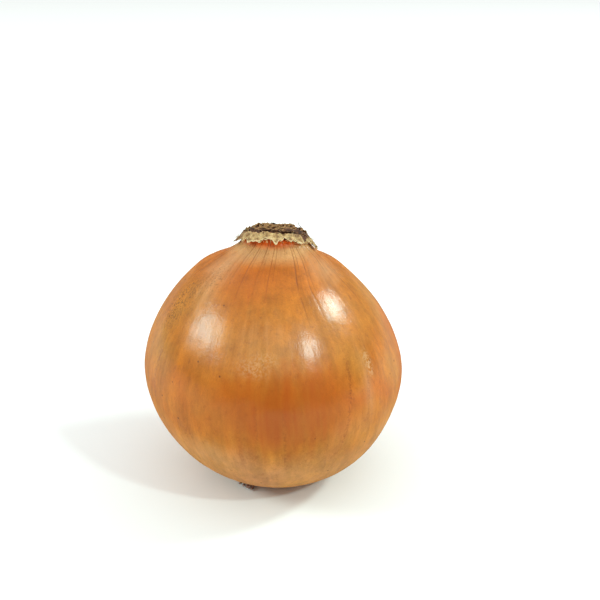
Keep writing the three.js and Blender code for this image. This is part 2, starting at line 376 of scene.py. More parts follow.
@dataclass(frozen=True)
class BulbForm:
    """The bulb's form, from the same driving dimensions as the solids, in millimetres."""

    radius: float = 42.5
    widest_z: float = 35.7
    shoulder_radius: float = 15.6
    shoulder_z: float = 76.8
    neck_z: float = 81.7
    lip_radius: float = 12.0
    lip_z: float = 1.5
    dish_radius: float = 9.6
    dish_z: float = 2.25
    lean: float = -0.045
    neck_shift: float = 2.5
    lobe: float = 0.017
    lobe_angle: float = 0.06
    bulge_forward: float = 0.85
    lump: float = 0.005
    neck_half_width: float = 10.1
    neck_half_depth: float = 7.1
    flattens_from: float = 70.0
    flat_by: float = 80.0
    tilt: float = math.radians(6.4)
    roll: float = math.radians(3.0)
    arch: float = 0.7

    def outline(self, count: int) -> Array:
        """Gives the half outline from the base's lip to the neck's edge.

        Args:
            count: How many evenly spaced points to give.

        Returns:
            Radius and height of each point.
        """
        widest = (self.radius, self.widest_z)
        shoulder = (self.shoulder_radius, self.shoulder_z)
        curves = (
            ((self.lip_radius, self.lip_z), (29.6, self.lip_z), (self.radius, 21.0), widest),
            (widest, (self.radius, 50.3), (30.6, 66.2), shoulder),
            (shoulder, (13.1, 78.5), (10.5, 79.6), (self.neck_half_width, self.neck_z)),
        )
        t = np.linspace(0, 1, 400)[:, None]
        fine = np.concatenate([
            (1 - t) ** 3 * a + 3 * (1 - t) ** 2 * t * b + 3 * (1 - t) * t**2 * c + t**3 * d
            for a, b, c, d in np.array(curves)
        ])
        along = np.concatenate([[0], np.cumsum(np.linalg.norm(np.diff(fine, axis=0), axis=1))])
        even = np.linspace(0, along[-1], count)
        return np.stack([np.interp(even, along, fine[:, i]) for i in (0, 1)], 1)

    def axis_x(self, z: Array | float) -> Array | float:
        """Gives the x of the leaning axis at a height."""
        in_neck = ease(z, self.flattens_from, self.flat_by)
        return self.lean * (z - self.widest_z) + self.neck_shift * in_neck

    def _tip(self, x: Array, y: Array) -> Array:
        """Gives how far the tilted and arched face of the neck lies below its middle."""
        dropped = self.arch * (x / self.neck_half_width) ** 2
        return y * math.tan(self.tilt) + x * math.tan(self.roll) + dropped

    def place(self, angle: Array, radius: Array, z: Array, relief: Array) -> Array:
        """Puts points of the plain outline on the lobed, leaning bulb.

        Args:
            angle: Angles round the axis, 0 at the front and positive towards +X.
            radius: Radii of the plain outline.
            z: Heights of the plain outline.
            relief: How far each point stands out from the form.

        Returns:
            The points, with x, y, z in the last axis.
        """
        on_flank = ease(radius, self.lip_radius, self.radius)
        swell = self.lobe * np.cos(3 * (angle - self.lobe_angle)) + self.lump * ripple(11, (2, 5, 7))(angle)
        full = radius * (1 + swell * on_flank) + relief
        in_neck = ease(z, self.flattens_from, self.flat_by)
        narrow = 1 - (1 - self.neck_half_depth / self.neck_half_width) * in_neck
        x = full * np.sin(angle)
        y = -full * np.cos(angle) * narrow
        return np.stack([self.axis_x(z) + x, y + self.bulge_forward, z - self._tip(x, y) * in_neck], -1)

    def beside_neck(
        self, angle: Array, outwards: Array, above: Array, oval: tuple[float, float] | None = None
    ) -> Array:
        """Puts points beside an oval on the neck's face.

        Args:
            angle: Angles round the neck's axis.
            outwards: Distances out from the oval.
            above: Heights above the face.
            oval: The oval's half width and half depth, or None for the neck's own.

        Returns:
            The points, with x, y, z in the last axis.
        """
        wide, deep = oval or (self.neck_half_width, self.neck_half_depth)
        sin, cos = np.sin(angle), np.cos(angle)
        long = np.hypot(deep * sin, wide * cos) + 1e-9
        x = wide * sin + outwards * deep * sin / long
        y = -deep * cos - outwards * wide * cos / long
        leaned_x = self.axis_x(self.neck_z) + x + above * math.sin(self.roll)
        leaned_y = y + above * math.sin(self.tilt) + self.bulge_forward
        return np.stack([leaned_x, leaned_y, self.neck_z + above - self._tip(x, y)], -1)


@dataclass(frozen=True)
class SkinGround:
    """What the skin's patterns read.

    Place holds Object coordinates and z the height, both in metres. Turn and rise are the parts of
    the way round and up the skin, and ring joins the two without a seam.
    """

    add: AddNode
    place: NodeSocket
    z: NodeSocket
    turn: NodeSocket
    rise: NodeSocket
    ring: Node

    def noise(self, size: float, detail: float, roughness: float = 0.5, tall: float = 1.0) -> Node:
        """Adds a noise over the skin.

        Args:
            size: The size of its grains, in millimetres.
            detail: How many finer layers it has.
            roughness: How strong those layers are.
            tall: How many times taller than wide its grains are.

        Returns:
            The noise, from 0 to 1.
        """
        where = self.place
        if tall != 1.0:
            where = self.add(VECTOR_MATH, {0: where, 1: (1.0, 1.0, 1 / tall)}, operation="MULTIPLY")
        scale = 1 / (size * MM)
        return self.add(NOISE, {"Vector": where, "Scale": scale, "Detail": detail, "Roughness": roughness})


@dataclass(frozen=True)
class CuredSkin:
    """Dry outer scale leaf of a brown onion, cured by drying. Sizes are in millimetres.

    It is thin and a little see-through, with a natural wax. So the eye gets broad warm colour under
    a thin clear coat, fine lengthwise fibres and softly broken highlights. Its pores are the skin's
    cells, under 0.1 mm wide, and are drawn coarser so that they show.
    """

    golden: str = "#B86B1C"
    tan: str = "#BE8049"
    # Rust colours the blush marks; the one at the front, below the middle, is painted shade.
    rust: str = "#A94B12"
    amber: str = "#B86213"
    rosy: str = "#C28C58"
    # Russet is painted shade: the skin just below the collar, in the collar's shadow.
    collar_shade_russet: str = "#D65818"
    crease: str = "#74390F"
    speck: str = "#3E1A0A"
    mildew: str = "#5C3C1E"
    # The bleached colour paints the pale bloom and scuff marks; one bloom is a painted sheen and the front
    # scuffs are a painted glint.
    bleach_and_sheen: str = "#DDBB8B"
    stain: str = "#7A3210"
    straw: str = "#B98030"
    wax: str = "#FFD4A4"
    vein_count: float = 32.0
    vein_strength: float = 0.68
    fibre_width: float = 2.2
    fibre_length: float = 30.0
    drift_size: float = 22.0
    blotch_size: float = 24.0
    mottle_size: float = 6.0
    mottle_strength: float = 0.27
    wrinkle_size: float = 3.2
    fleck_size: float = 1.3
    grain: float = 0.7
    pore_size: float = 0.42
    speck_spacing: float = 7.0
    smear: float = 2.5
    pore_depth: float = 0.035
    fibre_depth: float = 0.045
    fold_depth: float = 0.05
    radius: float = 42.5
    height: float = 86.0
    skin_length: float = 120.0

    def build(self) -> Material:
        """Builds the material.

        Returns:
            The finished material, which reads the map "surface" and the marks of the skin's mesh.
        """
        material, add = new_material("cured_onion_skin")
        split = add(SEPARATE, {0: add("ShaderNodeUVMap", uv_map="surface")})
        turn, rise = split.outputs[0], split.outputs[1]
        angle = add(MATH, {0: turn, 1: TURN}, operation="MULTIPLY")
        east = add(MATH, {0: angle}, operation="SINE")
        north = add(MATH, {0: angle}, operation="COSINE")
        place = add("ShaderNodeTexCoord").outputs["Object"]
        z = add(SEPARATE, {0: place}).outputs[2]
        on = SkinGround(add, place, z, turn, rise, add(COMBINE, {0: east, 1: north, 2: rise}))
        fibres, pores, crease = self._fibres(on), on.noise(self.pore_size, 2.0, 0.6), self._creases(on)
        streaked = add(MIX, {0: 0.22, 6: self._tone(on), 7: fibres}, data_type="RGBA", blend_type="OVERLAY")
        veined = add(MIX, {0: crease, 6: streaked, 7: linear(self.crease)}, data_type="RGBA")
        grainy = add(MIX, {0: 0.2, 6: veined, 7: pores}, data_type="RGBA", blend_type="OVERLAY")
        height = self._height(on, pores, fibres, crease)
        rim = add("ShaderNodeLayerWeight", {"Blend": 0.5}).outputs["Facing"]
        gloss = add(MAP_RANGE, {0: pores, 1: 0.3, 2: 0.7, 3: 0.33, 4: 0.43})
        dusty = add(MAP_RANGE, {0: rim, 1: 0.4, 2: 1.0, 3: 0.0, 4: 0.3})
        waxy = add(MAP_RANGE, {0: rim, 1: 0.3, 2: 0.85, 3: 0.75, 4: 0.05})
        # The wax has worn off towards the base, and in the folds below the collar.
        base, folds = (
            add(MAP_RANGE, {0: z, 1: low * MM, 2: high * MM, 3: lower, 4: upper})
            for low, high, lower, upper in ((28, 54, 0.2, 1.0), (73, 79, 1.0, 0.25))
        )
        unworn = add(MATH, {0: base, 1: folds}, operation="MULTIPLY")
        skin = add(
            SHADER,
            {
                "Base Color": self._marks(on, grainy, fibres),
                "Roughness": add(MATH, {0: gloss, 1: dusty}, operation="ADD"),
                "IOR": 1.45,
                "Normal": height,
                "Subsurface Weight": 0.1,
                "Subsurface Radius": (1.0, 0.42, 0.14),
                "Subsurface Scale": 2.2 * MM,
                "Specular IOR Level": 0.12,
                "Specular Tint": linear(self.wax),
                "Coat Weight": add(MATH, {0: waxy, 1: unworn}, operation="MULTIPLY"),
                "Coat Roughness": 0.2,
                "Coat IOR": 1.45,
                "Coat Normal": height,
            },
            subsurface_method="RANDOM_WALK",
        )
        add(OUTPUT, {"Surface": skin})
        return material

    def _tone(self, on: SkinGround) -> Node:
        """Makes the broad colour: bands up the bulb, broken by blotches.

        Args:
            on: What patterns read.

        Returns:
            The colour.
        """
        add = on.add
        shift = add(MAP_RANGE, {0: on.noise(self.drift_size, 1.5), 1: 0.25, 2: 0.75, 3: -0.1, 4: 0.1})
        calm = add(MAP_RANGE, {0: on.z, 1: 60 * MM, 2: 76 * MM, 3: 1.0, 4: 0.1})
        moved = add(MATH, {0: shift, 1: calm}, operation="MULTIPLY")
        part = add(MATH, {0: on.z, 1: 1 / (self.height * MM), 2: moved}, operation="MULTIPLY_ADD")
        bands = add("ShaderNodeValToRGB", {0: part})
        ramp = bands.color_ramp
        # The last stop, russet, is painted shade where the collar shades the skin.
        stops = (
            # The amber band at 0.45 is partly the skin's deeper colour and partly painted shade of the
            # lower middle.
            (0.0, self.tan), (0.22, self.tan), (0.37, self.golden), (0.45, self.amber),
            (0.62, self.golden), (0.8, self.golden), (0.885, self.amber), (0.915, self.rosy),
            (0.93, self.rosy), (0.947, self.collar_shade_russet),
        )
        for at, code in stops[1:-1]:
            ramp.elements.new(at).color = linear(code)
        ramp.elements[0].color = linear(stops[0][1])
        ramp.elements[-1].position = stops[-1][0]
        ramp.elements[-1].color = linear(stops[-1][1])
        low = add(MAP_RANGE, {0: on.z, 1: 62 * MM, 2: 74 * MM, 3: 0.62, 4: 0.0})
        blotch = on.noise(self.blotch_size, 3.0, 0.55)
        pale = add(MAP_RANGE, {0: blotch, 1: 0.42, 2: 0.7, 3: 0.0, 4: low})
        blotched = add(MIX, {0: pale, 6: bands, 7: linear(self.straw)}, data_type="RGBA")
        mottle = on.noise(self.mottle_size, 6.0, 0.75, self.smear)
        clouds = {0: self.mottle_strength, 6: blotched, 7: add(MAP_RANGE, {0: mottle, 1: 0.3, 2: 0.7})}
        return add(MIX, clouds, data_type="RGBA", blend_type="OVERLAY")

    def _fibres(self, on: SkinGround) -> Node:
        """Makes fine streaks that run up the skin.

        Args:
            on: What patterns read.

        Returns:
            The streaks, from 0 to 1.
        """
        across, up = self.radius / self.fibre_width, self.skin_length / self.fibre_length
        drawn = on.add(VECTOR_MATH, {0: on.ring, 1: (across, across, up)}, operation="MULTIPLY")
        return on.add(NOISE, {"Vector": drawn, "Scale": 1.0, "Detail": 4.0, "Roughness": 0.6})

    def _creases(self, on: SkinGround) -> Node:
        """Makes the thin dark lines of the veins, which start at the neck and fade down the skin.

        Args:
            on: What patterns read.

        Returns:
            How strong the line is, from 0 to 1.
        """
        add = on.add
        broken = add(VECTOR_MATH, {0: on.ring, 1: (30.0, 30.0, 26.0)}, operation="MULTIPLY")
        gaps = add(NOISE, {"Vector": broken, "Scale": 1.0, "Detail": 1.0})
        lines = []
        for times, start, width, shortest, longest in (
            (1, 0.5, 0.075, 0.91, 0.68), (1, 0.18, 0.045, 0.94, 0.74), (3, 0.5, 0.12, 1.05, 0.82),
        ):
            place = add(MATH, {0: on.turn, 1: self.vein_count * times, 2: start}, operation="MULTIPLY_ADD")
            part = add(MATH, {0: place}, operation="FRACT")
            away = add(MATH, {0: add(MATH, {0: part, 1: 0.5}, operation="SUBTRACT")}, operation="ABSOLUTE")
            line = add(MAP_RANGE, {0: away, 1: 0.015, 2: width, 3: 1.0, 4: 0.0})
            which = add(MATH, {0: place}, operation="FLOOR")
            chance = add("ShaderNodeTexWhiteNoise", {"W": which}, noise_dimensions="1D")
            reach = add(MAP_RANGE, {0: chance, 3: shortest, 4: longest})
            past = add(MATH, {0: on.rise, 1: reach}, operation="SUBTRACT")
            near = add(MAP_RANGE, {0: past, 1: 0.0, 2: 0.11, 3: 0.0, 4: 1.0})
            lines.append(add(MATH, {0: line, 1: near}, operation="MULTIPLY"))
        total = lines[0]
        for inked in lines[1:]:
            total = add(MATH, {0: total, 1: inked}, operation="MAXIMUM")
        partly = add(MATH, {0: total, 1: add(MAP_RANGE, {0: gaps, 1: 0.3, 2: 0.55})}, operation="MULTIPLY")
        return add(MATH, {0: partly, 1: self.vein_strength}, operation="MULTIPLY")

    def _marks(self, on: SkinGround, colour: Node, fibres: Node) -> Node:
        """Adds flecks, specks, mildew, stains and scuffs, and the blush and bloom marks. The front scuffs
        are a painted glint, the front blush painted shade, and one bloom a painted sheen.

        Returns:
            The colour with the marks.
        """
        add = on.add
        spots = {"Vector": on.place, "Scale": 1 / (self.speck_spacing * MM)}
        cells = add("ShaderNodeTexVoronoi", spots, feature="F1").outputs["Distance"]
        dots = add(MAP_RANGE, {0: cells, 1: 0.03, 2: 0.06, 3: 0.85, 4: 0.0})
        fleck = on.noise(self.fleck_size, 3.0, 0.7, self.smear)
        flecks = add(MAP_RANGE, {0: fleck, 1: 0.56, 2: 0.7, 3: 0.0, 4: 0.32})
        colour = add(MIX, {0: flecks, 6: colour, 7: linear(self.stain)}, data_type="RGBA")
        colour = add(MIX, {0: dots, 6: colour, 7: linear(self.speck)}, data_type="RGBA")
        grain = on.noise(self.grain, 3.0)
        patchy = add(MAP_RANGE, {0: grain, 1: 0.4, 2: 0.66})
        spotty = add(MAP_RANGE, {0: grain, 1: 0.5, 2: 0.68})
        cloudy = add(MAP_RANGE, {0: fibres, 1: 0.25, 2: 0.75, 3: 0.5, 4: 1.25})
        for mark, code, strength, pattern in (
            # The blush at the front is painted shade.
            ("blush_and_shade", self.rust, 0.85, cloudy),
            # One bloom is a painted sheen between the highlights.
            ("bloom_and_sheen", self.bleach_and_sheen, 0.55, cloudy),
            ("mildew", self.mildew, 1.0, spotty),
            ("stain", self.stain, 0.9, patchy),
            # The scuffs at the front are a painted glint.
            ("scuff_and_glint", self.bleach_and_sheen, 0.8, patchy),
        ):
            spread = add(ATTRIBUTE, attribute_name=mark)
            part = add(MATH, {0: spread, 1: pattern}, operation="MULTIPLY")
            fade = add(MATH, {0: part, 1: strength}, operation="MULTIPLY")
            colour = add(MIX, {0: fade, 6: colour, 7: linear(code)}, data_type="RGBA")
        return colour

    def _height(self, on: SkinGround, pores: Node, fibres: Node, crease: Node) -> Node:
        """Makes the fine relief: pores, fibres, wrinkles, and creases, which are sunk.

        Args:
            on: What patterns read.
            pores: The pores, from 0 to 1.
            fibres: The fibres, from 0 to 1.
            crease: The creases, from 0 to 1.

        Returns:
            The bent normal.
        """
        bent = {}
        for height, depth, sunk in (
            (pores, self.pore_depth, False), (fibres, self.fibre_depth, False),
            (on.noise(self.wrinkle_size, 2.0), self.fold_depth, False), (crease, self.fold_depth, True),
        ):
            relief = {"Strength": 1.0, "Distance": depth * MM, "Height": height}
            bent = {"Normal": on.add(BUMP, relief | bent, invert=sunk)}
        return bent["Normal"]


@dataclass(frozen=True)
class DryTissue:
    """Dead plant tissue that dried in the air: torn skin, withered leaf or root.

    It is matt, streaked along its fibres, and paler towards its torn rim, so the eye gets brittle,
    papery edges. Grain and fibre are the widths of its patches and streaks, in millimetres.
    """

    name: str
    body: str
    deep: str
    rim: str
    grain: float
    fibre: float
    rim_from: float = 0.75
    shaded: str = "#5A3018"
    roughness: float = 0.8
    relief: float = 0.12

    def build(self) -> Material:
        """Builds the material.

        Returns:
            The finished material, which reads Object coordinates and the marks "rim" and "shade".
        """
        material, add = new_material(self.name)
        place = add("ShaderNodeTexCoord").outputs["Object"]
        coarse = add(NOISE, {"Vector": place, "Scale": 1 / (self.grain * MM), "Detail": 3.0})
        long = add(VECTOR_MATH, {0: place, 1: (1.0, 1.0, 0.3)}, operation="MULTIPLY")
        fine = add(NOISE, {"Vector": long, "Scale": 1 / (self.fibre * MM), "Detail": 2.0})
        patch = add(MAP_RANGE, {0: coarse, 1: 0.35, 2: 0.65})
        base = add(MIX, {0: patch, 6: linear(self.deep), 7: linear(self.body)}, data_type="RGBA")
        shade = add(ATTRIBUTE, attribute_name="shade")
        # The mark "shade" mixes in the shaded colour: painted shade between the collar's torn layers,
        # partly browner tissue.
        browned_and_shaded = add(MIX, {0: shade, 6: base, 7: linear(self.shaded)}, data_type="RGBA")
        rim = add(ATTRIBUTE, attribute_name="rim")
        jagged = add(MATH, {0: fine, 1: 0.4, 2: rim}, operation="MULTIPLY_ADD")
        edge = add(MAP_RANGE, {0: jagged, 1: self.rim_from + 0.12, 2: self.rim_from + 0.34})
        edged = add(MIX, {0: edge, 6: browned_and_shaded, 7: linear(self.rim)}, data_type="RGBA")
        streaked = add(MIX, {0: 0.6, 6: edged, 7: fine}, data_type="RGBA", blend_type="OVERLAY")
        tissue = add(
            SHADER,
            {
                "Base Color": streaked,
                "Roughness": self.roughness,
                "IOR": 1.45,
                "Normal": add(BUMP, {"Strength": 1.0, "Distance": self.relief * MM, "Height": fine}),
                "Subsurface Weight": 0.08,
                "Subsurface Scale": 0.8 * MM,
            },
        )
        add(OUTPUT, {"Surface": tissue})
        return material


@dataclass(frozen=True)
class Mark:
    """A soft spot or a streak on the skin, in millimetres and degrees.

    Its lean is by how many degrees it turns to the right on each millimetre up.
    """

    angle: float
    height: float
    wide: float
    tall: float
    strength: float = 1.0
    lean: float = 0.0

    def spread(self, points: Array, form: BulbForm) -> Array:
        """Measures the mark at points of the skin.

        Args:
            points: Points in millimetres, one a row.
            form: The bulb's form.

        Returns:
            The mark's strength at each point.
        """
        x = points[:, 0] - form.axis_x(points[:, 2])
        y = points[:, 1] - form.bulge_forward
        middle = np.radians(self.angle + self.lean * (points[:, 2] - self.height))
        across = apart(np.arctan2(x, -y), middle) * np.hypot(x, y) / self.wide
        fingers = swells(points * np.array([1, 1, 0.08]), 2.4, 77)
        up = (points[:, 2] - self.height) / self.tall + 0.2 * fingers
        return self.strength * np.exp(-(across**2) - np.abs(up) ** 3)


@dataclass
class BulbSkin:
    """The whole dry skin, from the dished base to the gathered neck, with its marks by kind."""

    form: BulbForm
    columns: int = 480
    rows: int = 196
    pleat_count: int = 32
    pleat_depth: float = 0.3
    stray: float = 0.022
    rib_depth: float = 0.022
    dent_depth: float = 0.12
    dent_size: float = 19.0
    small_dent_size: float = 6.5
    dish_ring: float = 6.0
    face_rings: tuple[float, ...] = (8.6, 5.0)
    strip: float = 0.05
    marks: tuple[tuple[str, tuple[Mark, ...]], ...] = (
        # The first blush, at the front below the middle, is painted shade; the others are redder patches of
        # the skin.
        ("blush_and_shade", (
            Mark(5, 42, 20, 12), Mark(-20, 72, 9, 5, 0.5), Mark(95, 46, 12, 14, 0.7),
            Mark(168, 38, 24, 12, 0.8), Mark(225, 62, 14, 9, 0.5), Mark(-100, 34, 13, 10, 0.6),
        )),
        # The last bloom, between the highlights at the front, is a painted sheen; the rest are pale patches
        # of the skin.
        ("bloom_and_sheen", (
            Mark(62, 74, 6, 3.5, 0.55), Mark(-58, 75, 5, 3, 0.65), Mark(-50, 71, 4, 5, 0.45),
            Mark(150, 74, 6, 4, 0.5), Mark(44, 44, 2.0, 9, 0.3), Mark(-30, 24, 8, 5, 0.3),
            Mark(60, 26, 7, 6, 0.2), Mark(2, 59, 15, 6, 0.28),
        )),
        ("mildew", (Mark(-68, 64, 6, 7, 0.9), Mark(-52, 72, 5, 3.5, 0.5), Mark(205, 60, 7, 6, 0.6))),
        ("stain", (
            Mark(4, 31, 0.5, 11, 0.6), Mark(-7, 36, 0.5, 8, 0.5), Mark(-14, 33, 0.45, 10, 0.4),
            Mark(15, 30, 0.5, 7, 0.4), Mark(34.5, 47, 1.1, 8, 0.5, 0.32), Mark(33, 42, 0.6, 15, 1.0, 0.32),
            Mark(44, 42, 0.4, 9, 0.7, 0.3), Mark(52, 42, 0.4, 10, 0.5, 0.3), Mark(-62, 46, 1.3, 12, 0.4),
            Mark(-40, 30, 2.2, 3, 0.5), Mark(150, 48, 1.4, 15, 0.6),
        )),
        # The two scuffs at the front, near 55 mm up, are a painted glint; the others are real scuffs.
        ("scuff_and_glint", (
            Mark(48, 50, 1.3, 3.2, 0.9), Mark(-8, 54, 4.2, 2.2, 0.45), Mark(-3, 56, 3.4, 1.6, 0.35),
            Mark(175, 36, 5, 2.2, 0.5),
        )),
    )

    def build(self, material: Material) -> Object:
        """Builds the skin as one closed mesh.

        Args:
            material: The skin's finish.

        Returns:
            The skin's object.
        """
        form, angle, middle = self.form, around(self.columns), np.zeros(1)
        outline = form.outline(self.rows)
        radius, turn = np.meshgrid(outline[:, 0], angle, indexing="ij")
        z = np.broadcast_to(outline[:, 1:], radius.shape)
        wall = form.place(turn, radius, z, self._relief(turn, radius, z))
        base = self._level(angle, (form.dish_radius, self.dish_ring), form.dish_z)[::-1]
        top = self._level(angle, self.face_rings, form.neck_z)
        grid = np.concatenate([base, wall, top])
        low, high = (self._level(middle, (0.0,), z) for z in (form.dish_z, form.neck_z))
        points, faces = fanned(grid, low, high)
        spreads = {
            kind: np.max([mark.spread(points, form) for mark in marks], axis=0)
            for kind, marks in self.marks
        }
        return mesh_object("bulb_skin", points, faces, material, self._map(angle), spreads)

    def _wander(self, angle: Array) -> Array:
        """Gives how far the veins stray sideways at an angle, in radians."""
        return self.stray * (1.6 * ripple(23, (2, 3, 7))(angle) + ripple(43, (9, 13, 19))(angle))

    def _level(self, angle: Array, radii: tuple[float, ...], z: float) -> Array:
        """Makes rings of points in the dish or on the neck's face.

        Args:
            angle: The angles of the points.
            radii: The radius of each ring.
            z: The height of them all.

        Returns:
            The points (rings, columns round, x y z).
        """
        flat = np.zeros_like(angle)
        return np.array([self.form.place(angle, flat + r, flat + z, flat) for r in radii])

    def _map(self, angle: Array) -> Array:
        """Lays out the map "surface": u follows the straying veins, and v the way up.

        Args:
            angle: The angle of each column.

        Returns:
            A UV pair for each face corner, in the order that fanned gives the faces.
        """
        veined = (angle + self._wander(angle)) / TURN
        u = np.append(veined, veined[0] + 1)
        count = len(self.face_rings) + 2
        low, high = (np.linspace(start, start + self.strip, count) for start in (0, 1 - self.strip))
        v = np.concatenate([low[1:-1], np.linspace(self.strip, 1 - self.strip, self.rows), high[1:-1]])
        left, right = u[:-1], u[1:]
        corners = []
        for below, above in zip(v[:-1], v[1:]):
            across = np.stack([left, right, right, left], 1)
            up = np.tile([below, below, above, above], (len(left), 1))
            corners.append(np.stack([across, up], -1).reshape(-1, 2))
        for a, b in zip(left, right):
            half = (a + b) / 2
            corners.append(np.array([(half, 0), (b, v[0]), (a, v[0]), (half, 1), (a, v[-1]), (b, v[-1])]))
        return np.concatenate(corners)

    def _relief(self, angle: Array, radius: Array, z: Array) -> Array:
        """Works out the relief of the skin: pleats at the neck, ribs down the sides and soft dents.

        Args:
            angle: Angles round the axis.
            radius: Radii of the plain outline.
            z: Heights of the plain outline.

        Returns:
            How far each point stands out, in millimetres.
        """
        form = self.form
        near_neck = ease(z, form.widest_z + 26, form.shoulder_z + 2) ** 2
        folded = np.abs(np.sin(self.pleat_count * (angle + self._wander(angle)) / 2)) ** 0.7 - 0.6
        uneven = 0.8 + 0.5 * ripple(31, (5, 8, 13))(angle)
        edge = ease(z, form.neck_z - 0.01, form.neck_z - 1.2)
        pleats = self.pleat_depth * near_neck * folded * uneven * edge
        ribs = ripple(47, (19, 37, 53, 71, 97))(angle + 0.01 * swells(np.stack([z, z, z], -1), 30, 9))
        places = np.stack([radius * np.sin(angle), -radius * np.cos(angle), z], -1)
        dents = swells(places, self.dent_size, 5) + 0.35 * swells(places, self.small_dent_size, 6)
        flank = self.rib_depth * ribs * (1 - near_neck) + self.dent_depth * dents * (1 - 0.6 * near_neck)
        return pleats + flank * ease(radius, form.lip_radius, form.radius)


@dataclass(frozen=True)
class TornRing:
    """One ring of torn sheet round the neck, from its lower edge to its upper edge.

    Low, middle and high are how far out and how high its path is. Each lobe of its lower edge has
    an angle, a half width in radians, and how far it hangs.
    """

    low: tuple[float, float]
    middle: tuple[float, float]
    high: tuple[float, float]
    tear_low: float
    tear_high: float
    crinkle: float
    seed: int
    thickness: float = 0.14
    end: float = 1.42
    lobes: tuple[tuple[float, float, float], ...] = (
        (-0.75, 0.27, 0.6), (-0.24, 0.12, -0.55), (0.0, 0.045, 1.0), (0.27, 0.17, -0.7), (0.78, 0.16, 0.6),
    )

    def points(self, form: BulbForm, columns: int, rows: int, tail: float) -> Array:
        """Works out the ring's points.

        Args:
            form: The bulb's form, which carries the ring.
            columns: How many points each row has.
            rows: How many rows there are.
            tail: How far the ring's two ends trail down the shoulder, the right one most.

        Returns:
            The points (rows up, columns round, x y z) in millimetres.
        """
        angle = around(columns)
        t = np.linspace(0, 1, rows)[:, None]
        lower = (1 - t) ** 2
        out, above = (
            lower * a + 2 * (1 - t) * t * b + t**2 * c for a, b, c in zip(self.low, self.middle, self.high)
        )
        slow = ripple(self.seed, (3, 5, 8))(angle)
        quick = ripple(self.seed + 3, (17, 23, 31, 47))(angle)
        ragged_low = 0.9 * slow + 0.8 * quick + 1.5 * spikes(angle, 15, 0.12, self.seed + 4)
        ragged_high = 0.7 * slow + 0.5 * quick + 1.0 * spikes(angle, 24, 0.07, self.seed + 5)
        trail = tail * (hump(angle, self.end, 0.2) + 0.55 * hump(angle, TURN - self.end, 0.22))
        down = self.tear_low * ragged_low + trail
        slope = np.array(self.low) - np.array(self.middle)
        slope /= np.linalg.norm(slope)
        hanging = sum(deep * hump(apart(angle, at), 0.0, wide) for at, wide, deep in self.lobes)
        out = out + lower * (down * slope[0] + 0.45 * hanging)
        above = above + lower * (down * slope[1] - 0.9 * hanging) + t**2 * self.tear_high * ragged_high
        above = above - (1 - t) * 0.6 * np.sin(angle) ** 4
        turn = np.broadcast_to(angle, out.shape)
        plain = form.beside_neck(turn, out, above)
        bent = self.crinkle * (swells(plain, 2.6, self.seed) + 0.5 * swells(plain, 1.1, self.seed + 1))
        return form.beside_neck(turn, out + bent * (0.35 + 0.65 * (1 - t)), above)


@dataclass
class NeckCollar:
    """The torn papery collar: three pale torn rings, one inside the other, darkened at their ends with
    browner tissue and painted shade.
    """

    form: BulbForm
    columns: int = 720
    rows: int = 9
    tail: float = 2.4
    rings: tuple[TornRing, ...] = (
        TornRing((1.2, 0.3), (0.62, 0.66), (-0.16, 1.5), 0.6, 0.3, 0.26, 5),
        TornRing((0.85, 0.2), (0.4, 0.5), (-0.34, 1.1), 0.75, 0.3, 0.22, 71),
        TornRing((0.7, 0.55), (0.2, 0.9), (-0.46, 1.8), 0.3, 0.45, 0.16, 93),
    )

    def build(self, material: Material) -> Object:
        """Builds the collar as closed thin rings in one object.

        Args:
            material: The collar's finish.

        Returns:
            The collar's object.
        """
        t = np.linspace(0, 1, self.rows)[:, None]
        sheets = []
        for ring in self.rings:
            points = ring.points(self.form, self.columns, self.rows, self.tail)
            shade = self._shade(points)
            sheets.append((points, ring.thickness, (1 - t) ** 2 * (1 - 0.8 * shade), shade))
        return sheet_object("torn_collar", sheets, material)

    def _shade(self, points: Array) -> Array:
        """Darkens the collar at its two ends, and in patches at its right half, partly as browner tissue
        and partly as painted shade between the torn layers.

        Args:
            points: The points of a ring (rows up, columns round, x y z).

        Returns:
            How dark each point is, from 0 to 1.
        """
        angle = around(self.columns)
        patches = ease(swells(points, 2.2, 19), 0.0, 0.45)
        ends = np.abs(np.sin(angle)) ** 10
        return np.clip(0.95 * hump(angle, 0.95, 0.42) * patches + ends * (0.35 + 0.6 * patches), 0, 1)


